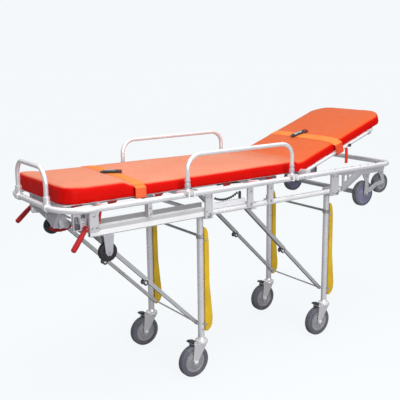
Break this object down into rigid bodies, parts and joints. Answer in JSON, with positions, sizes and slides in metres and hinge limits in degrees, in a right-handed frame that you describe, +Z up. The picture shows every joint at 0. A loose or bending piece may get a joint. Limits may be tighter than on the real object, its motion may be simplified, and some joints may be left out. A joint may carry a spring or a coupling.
{
  "type": "stretcher trolley",
  "caption": "Self-loading ambulance stretcher trolley: padded bed with lifting backrest on a tube frame, legs that fold towards the foot end, swivel casters and loading wheels.",
  "frame": {"origin": "on the floor under the middle of the trolley's bounding box", "axes": "+X towards the head end, +Y towards the lying patient's right, +Z up"},
  "size_m": [1.9091, 0.668, 1.1517],
  "materials": {
    "satin_tube": "satin polished",
    "white_extrusion": "satin anodised",
    "white_casting": "satin paint",
    "grey_casting": "satin hammer paint",
    "zinc_steel": "zinc plated",
    "deck_sheet": "mill finish",
    "orange_vinyl": "coated fabric, soft sheen",
    "amber_webbing": "woven webbing",
    "black_plastic": "moulded",
    "yellow_guard": "moulded",
    "red_lever": "dipped grip",
    "grey_tyre": "matt",
    "violet_wheel": "matt",
    "black_rubber": "matt"
  },
  "bodies": {
    "root": {"upper_frame": "satin_tube", "side_channels": "white_extrusion", "rail_bars": "satin_tube", "frame_brackets": "grey_casting", "cross_tubes": "satin_tube", "head_plates": "grey_casting", "diagonal_braces": "grey_casting", "loading_wheel_arms": "grey_casting", "loading_axle": "zinc_steel", "small_wheel_forks": "grey_casting", "side_rail_bases": "white_casting", "frame_pins": "zinc_steel", "main_deck": "deck_sheet", "main_pad": "orange_vinyl", "main_strap": "amber_webbing", "main_buckle": "black_plastic"},
    "foot_legs": {"foot_leg_tubes": "satin_tube", "foot_leg_crossbar": "satin_tube", "foot_leg_guards": "yellow_guard"},
    "foot_strut_upper": {"foot_strut_upper": "zinc_steel"},
    "foot_strut_lower": {"foot_strut_lower": "zinc_steel"},
    "foot_left_caster": {"foot_left_caster_fork": "zinc_steel"},
    "foot_left_wheel": {"foot_left_caster_wheel": "grey_tyre"},
    "foot_left_pedal": {"foot_left_brake_pedal": "black_plastic"},
    "foot_right_caster": {"foot_right_caster_fork": "zinc_steel"},
    "foot_right_wheel": {"foot_right_caster_wheel": "grey_tyre"},
    "foot_right_pedal": {"foot_right_brake_pedal": "black_plastic"},
    "head_legs": {"head_leg_tubes": "satin_tube", "head_leg_crossbar": "satin_tube", "head_leg_guards": "yellow_guard"},
    "head_strut_upper": {"head_strut_upper": "zinc_steel"},
    "head_strut_lower": {"head_strut_lower": "zinc_steel"},
    "head_left_caster": {"head_left_caster_fork": "zinc_steel"},
    "head_left_wheel": {"head_left_caster_wheel": "grey_tyre"},
    "head_left_pedal": {"head_left_brake_pedal": "black_plastic"},
    "head_right_caster": {"head_right_caster_fork": "zinc_steel"},
    "head_right_wheel": {"head_right_caster_wheel": "grey_tyre"},
    "head_right_pedal": {"head_right_brake_pedal": "black_plastic"},
    "left_loading_wheel": {"left_loading_wheel": "violet_wheel"},
    "left_guide_wheel": {"left_guide_wheel": "grey_tyre"},
    "left_small_wheel": {"left_small_wheel": "black_rubber"},
    "left_side_rail": {"left_side_rail": "satin_tube"},
    "left_release_lever": {"left_release_lever": "red_lever"},
    "left_lock_lever": {"left_lock_lever": "red_lever"},
    "right_loading_wheel": {"right_loading_wheel": "violet_wheel"},
    "right_guide_wheel": {"right_guide_wheel": "grey_tyre"},
    "right_small_wheel": {"right_small_wheel": "black_rubber"},
    "right_side_rail": {"right_side_rail": "satin_tube"},
    "right_release_lever": {"right_release_lever": "red_lever"},
    "right_lock_lever": {"right_lock_lever": "red_lever"},
    "foot_handle": {"foot_handle": "satin_tube"},
    "backrest": {"backrest_frame": "satin_tube", "backrest_deck": "deck_sheet", "backrest_pad": "orange_vinyl", "backrest_strap": "amber_webbing", "backrest_buckle": "black_plastic"},
    "gas_spring_tube": {"gas_spring_tube": "black_plastic"},
    "gas_spring_rod": {"gas_spring_rod": "zinc_steel"},
    "main_buckle_button": {"main_buckle_button": "red_lever"},
    "backrest_buckle_button": {"backrest_buckle_button": "red_lever"}
  },
  "joints": [
    {"name": "foot_leg_fold", "type": "hinge", "parent": "root", "child": "foot_legs", "pos_m": [-0.255, 0, 0.768], "axis": [0, 1, 0], "range_deg": [0, 85]},
    {"name": "foot_strut_hinge", "type": "hinge", "parent": "root", "child": "foot_strut_upper", "pos_m": [-0.785, 0, 0.768], "axis": [0, 1, 0], "range_deg": [-44, 0]},
    {"name": "foot_knee_hinge", "type": "hinge", "parent": "foot_strut_upper", "child": "foot_strut_lower", "pos_m": [-0.52, 0, 0.503], "axis": [0, 1, 0], "range_deg": [0, 173]},
    {"name": "foot_left_caster_swivel", "type": "hinge", "parent": "foot_legs", "child": "foot_left_caster", "pos_m": [-0.255, -0.219, 0], "axis": [0, 0, 1], "continuous": true},
    {"name": "foot_left_wheel_spin", "type": "hinge", "parent": "foot_left_caster", "child": "foot_left_wheel", "pos_m": [-0.301, -0.219, 0.075], "axis": [0, 1, 0], "continuous": true},
    {"name": "foot_left_brake_press", "type": "hinge", "parent": "foot_left_caster", "child": "foot_left_pedal", "pos_m": [-0.3, -0.219, 0.1665], "axis": [0, -1, 0], "range_deg": [0, 14]},
    {"name": "foot_right_caster_swivel", "type": "hinge", "parent": "foot_legs", "child": "foot_right_caster", "pos_m": [-0.255, 0.219, 0], "axis": [0, 0, 1], "continuous": true},
    {"name": "foot_right_wheel_spin", "type": "hinge", "parent": "foot_right_caster", "child": "foot_right_wheel", "pos_m": [-0.301, 0.219, 0.075], "axis": [0, 1, 0], "continuous": true},
    {"name": "foot_right_brake_press", "type": "hinge", "parent": "foot_right_caster", "child": "foot_right_pedal", "pos_m": [-0.3, 0.219, 0.1665], "axis": [0, -1, 0], "range_deg": [0, 14]},
    {"name": "head_leg_fold", "type": "hinge", "parent": "root", "child": "head_legs", "pos_m": [0.538, 0, 0.768], "axis": [0, 1, 0], "range_deg": [0, 85]},
    {"name": "head_strut_hinge", "type": "hinge", "parent": "root", "child": "head_strut_upper", "pos_m": [0.008, 0, 0.768], "axis": [0, 1, 0], "range_deg": [-44, 0]},
    {"name": "head_knee_hinge", "type": "hinge", "parent": "head_strut_upper", "child": "head_strut_lower", "pos_m": [0.273, 0, 0.503], "axis": [0, 1, 0], "range_deg": [0, 173]},
    {"name": "head_left_caster_swivel", "type": "hinge", "parent": "head_legs", "child": "head_left_caster", "pos_m": [0.538, -0.219, 0], "axis": [0, 0, 1], "continuous": true},
    {"name": "head_left_wheel_spin", "type": "hinge", "parent": "head_left_caster", "child": "head_left_wheel", "pos_m": [0.492, -0.219, 0.075], "axis": [0, 1, 0], "continuous": true},
    {"name": "head_left_brake_press", "type": "hinge", "parent": "head_left_caster", "child": "head_left_pedal", "pos_m": [0.493, -0.219, 0.1665], "axis": [0, -1, 0], "range_deg": [0, 14]},
    {"name": "head_right_caster_swivel", "type": "hinge", "parent": "head_legs", "child": "head_right_caster", "pos_m": [0.538, 0.219, 0], "axis": [0, 0, 1], "continuous": true},
    {"name": "head_right_wheel_spin", "type": "hinge", "parent": "head_right_caster", "child": "head_right_wheel", "pos_m": [0.492, 0.219, 0.075], "axis": [0, 1, 0], "continuous": true},
    {"name": "head_right_brake_press", "type": "hinge", "parent": "head_right_caster", "child": "head_right_pedal", "pos_m": [0.493, 0.219, 0.1665], "axis": [0, -1, 0], "range_deg": [0, 14]},
    {"name": "left_loading_wheel_spin", "type": "hinge", "parent": "root", "child": "left_loading_wheel", "pos_m": [0.758, -0.262, 0.731], "axis": [0, 1, 0], "continuous": true},
    {"name": "left_guide_wheel_spin", "type": "hinge", "parent": "root", "child": "left_guide_wheel", "pos_m": [0.887, -0.262, 0.771], "axis": [0, 1, 0], "continuous": true},
    {"name": "left_small_wheel_spin", "type": "hinge", "parent": "root", "child": "left_small_wheel", "pos_m": [-0.745, -0.27, 0.69], "axis": [0, 1, 0], "continuous": true},
    {"name": "left_side_rail_fold", "type": "hinge", "parent": "root", "child": "left_side_rail", "pos_m": [0, -0.322, 0.884], "axis": [1, 0, 0], "range_deg": [0, 175]},
    {"name": "left_release_pull", "type": "hinge", "parent": "root", "child": "left_release_lever", "pos_m": [-0.833, -0.2695, 0.798], "axis": [0, 1, 0], "range_deg": [0, 25]},
    {"name": "left_lock_press", "type": "hinge", "parent": "root", "child": "left_lock_lever", "pos_m": [-0.776, -0.268, 0.815], "axis": [0, 1, 0], "range_deg": [0, 25]},
    {"name": "right_loading_wheel_spin", "type": "hinge", "parent": "root", "child": "right_loading_wheel", "pos_m": [0.758, 0.262, 0.731], "axis": [0, 1, 0], "continuous": true},
    {"name": "right_guide_wheel_spin", "type": "hinge", "parent": "root", "child": "right_guide_wheel", "pos_m": [0.887, 0.262, 0.771], "axis": [0, 1, 0], "continuous": true},
    {"name": "right_small_wheel_spin", "type": "hinge", "parent": "root", "child": "right_small_wheel", "pos_m": [-0.745, 0.27, 0.69], "axis": [0, 1, 0], "continuous": true},
    {"name": "right_side_rail_fold", "type": "hinge", "parent": "root", "child": "right_side_rail", "pos_m": [0, 0.322, 0.884], "axis": [-1, 0, 0], "range_deg": [0, 175]},
    {"name": "right_release_pull", "type": "hinge", "parent": "root", "child": "right_release_lever", "pos_m": [-0.833, 0.2695, 0.798], "axis": [0, 1, 0], "range_deg": [0, 25]},
    {"name": "right_lock_press", "type": "hinge", "parent": "root", "child": "right_lock_lever", "pos_m": [-0.776, 0.268, 0.815], "axis": [0, 1, 0], "range_deg": [0, 25]},
    {"name": "foot_handle_fold", "type": "hinge", "parent": "root", "child": "foot_handle", "pos_m": [-0.9375, 0, 0.875], "axis": [0, -1, 0], "range_deg": [0, 100]},
    {"name": "backrest_tilt", "type": "hinge", "parent": "root", "child": "backrest", "pos_m": [0.335, 0, 0.89], "axis": [0, -1, 0], "range_deg": [-19.5, 50]},
    {"name": "gas_spring_hinge", "type": "hinge", "parent": "root", "child": "gas_spring_tube", "pos_m": [0.014, 0, 0.835], "axis": [0, -1, 0], "range_deg": [-3.5, 8.7]},
    {"name": "gas_spring_extend", "type": "slide", "parent": "gas_spring_tube", "child": "gas_spring_rod", "axis": [0.9993, 0, -0.0373], "range_m": [-0.0155, 0.039]},
    {"name": "main_buckle_press", "type": "slide", "parent": "root", "child": "main_buckle_button", "axis": [-0.848, 0.5299, 0], "range_m": [0, 0.004], "stiffness_N_per_m": 200},
    {"name": "backrest_buckle_press", "type": "slide", "parent": "backrest", "child": "backrest_buckle_button", "axis": [-0.8677, 0.3907, -0.3073], "range_m": [0, 0.004], "stiffness_N_per_m": 200}
  ],
  "couplings": [
    {"joint": "foot_strut_hinge", "follows": "foot_leg_fold", "ratio": -0.5172},
    {"joint": "foot_knee_hinge", "follows": "foot_leg_fold", "ratio": 2.0345},
    {"joint": "head_strut_hinge", "follows": "head_leg_fold", "ratio": -0.5172},
    {"joint": "head_knee_hinge", "follows": "head_leg_fold", "ratio": 2.0345},
    {"joint": "gas_spring_hinge", "follows": "backrest_tilt", "ratio": 0.1722},
    {"joint": "gas_spring_extend", "follows": "backrest_tilt", "m_per_rad": 0.04423}
  ]
}
